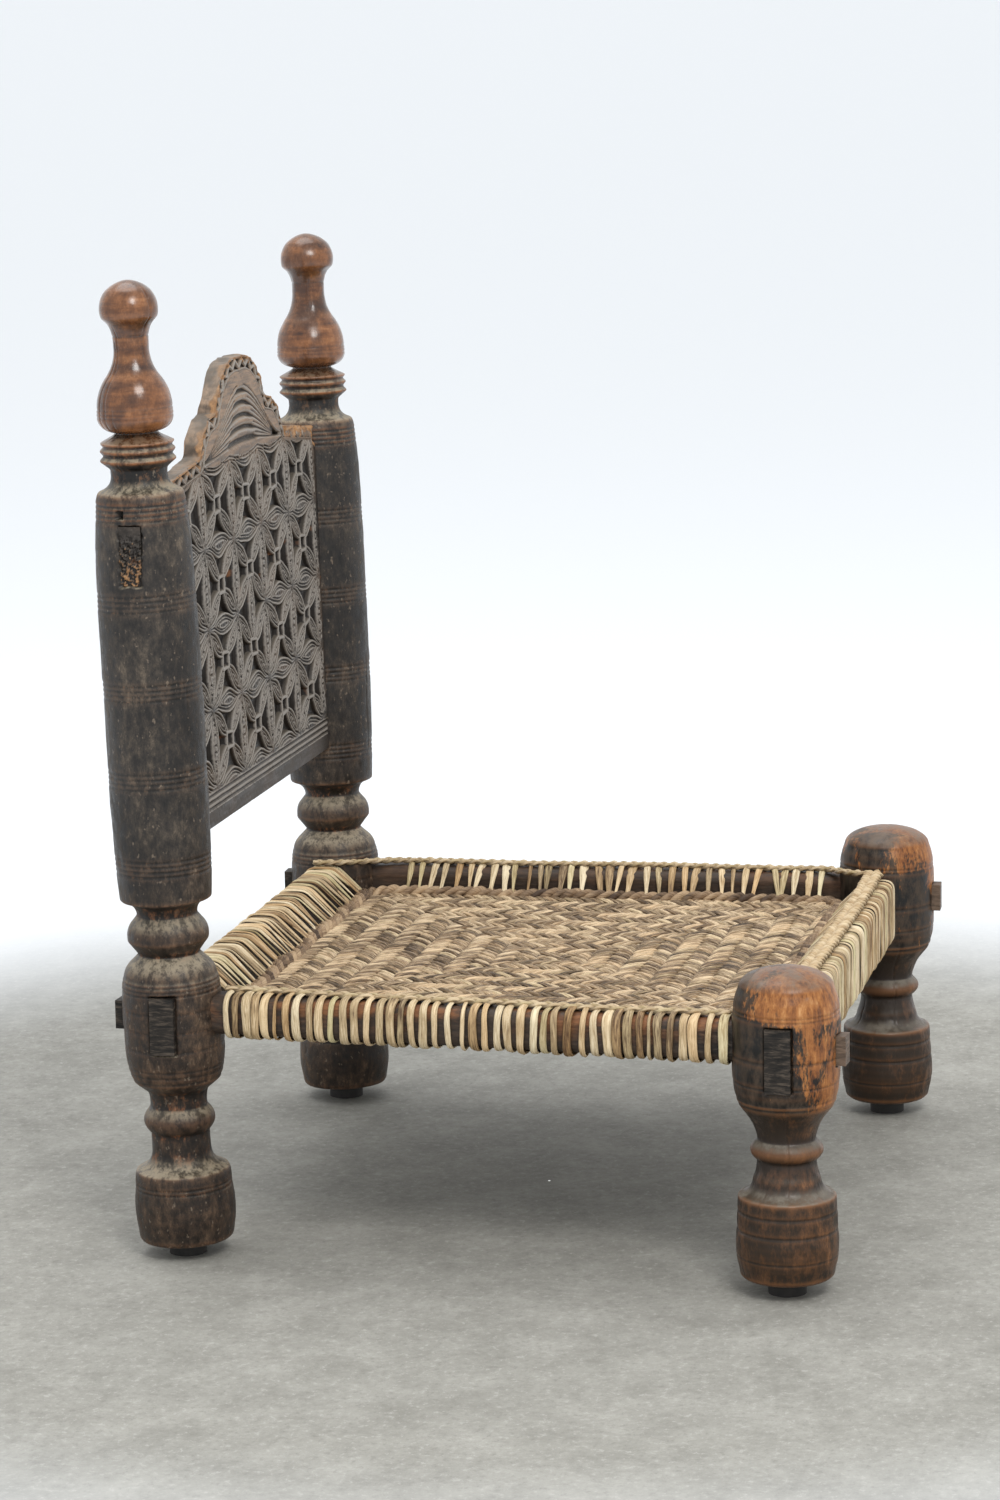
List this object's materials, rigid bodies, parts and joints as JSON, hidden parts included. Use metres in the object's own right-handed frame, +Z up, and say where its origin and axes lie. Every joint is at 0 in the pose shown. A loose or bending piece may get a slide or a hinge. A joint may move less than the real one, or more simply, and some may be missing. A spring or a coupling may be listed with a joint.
{
  "type": "low carved chair",
  "caption": "Low chair with turned posts and finials, a carved stepped-arch back panel, crossing through-tenoned rails and a laced twill-woven seat.",
  "frame": {"origin": "on the floor, at the middle of the chair's bounding box", "axes": "+Z up; the sitter faces -Y and the carved back stands at +Y; +X is the sitter's left"},
  "size_m": [0.5966, 0.5568, 0.7322],
  "materials": {
    "dark_turned_wood": "dark lacquered turned wood with dusty speckle, brown finials and worn orange-brown grooves",
    "worn_turned_wood": "orange-brown turned wood with black patina patches and grey dusty caps",
    "carved_wood": "charcoal carved wood, paler on the raised petals, raw tan wood along the top edge",
    "rail_wood": "dark aged wood, orange-brown where rubbed",
    "woven_leaf": "matte twisted leaf cord, straw to brown",
    "leaf_cord": "matte twisted cord, grey-brown to straw",
    "leaf_strip": "dry split leaf, satin, pale straw with brown and green streaks",
    "leaf_braid": "dry braided leaf, pale straw",
    "glide_rubber": "matte black",
    "nail_steel": "dull steel"
  },
  "bodies": {
    "root": {"back_post_right": "dark_turned_wood", "back_post_left": "dark_turned_wood", "front_leg_right": "worn_turned_wood", "front_leg_left": "worn_turned_wood", "back_panel": "carved_wood", "front_rail": "rail_wood", "back_rail": "rail_wood", "side_rail_right": "rail_wood", "side_rail_left": "rail_wood", "seat_weave": "woven_leaf", "border_cord": "leaf_cord", "lacing_front": "leaf_strip", "lacing_back": "leaf_strip", "lacing_right": "leaf_strip", "lacing_left": "leaf_strip", "braid_front": "leaf_braid", "braid_right": "leaf_braid", "braid_left": "leaf_braid", "glide_back_right": "glide_rubber", "glide_back_left": "glide_rubber", "glide_front_right": "glide_rubber", "glide_front_left": "glide_rubber", "glide_nails": "nail_steel"}
  },
  "joints": []
}
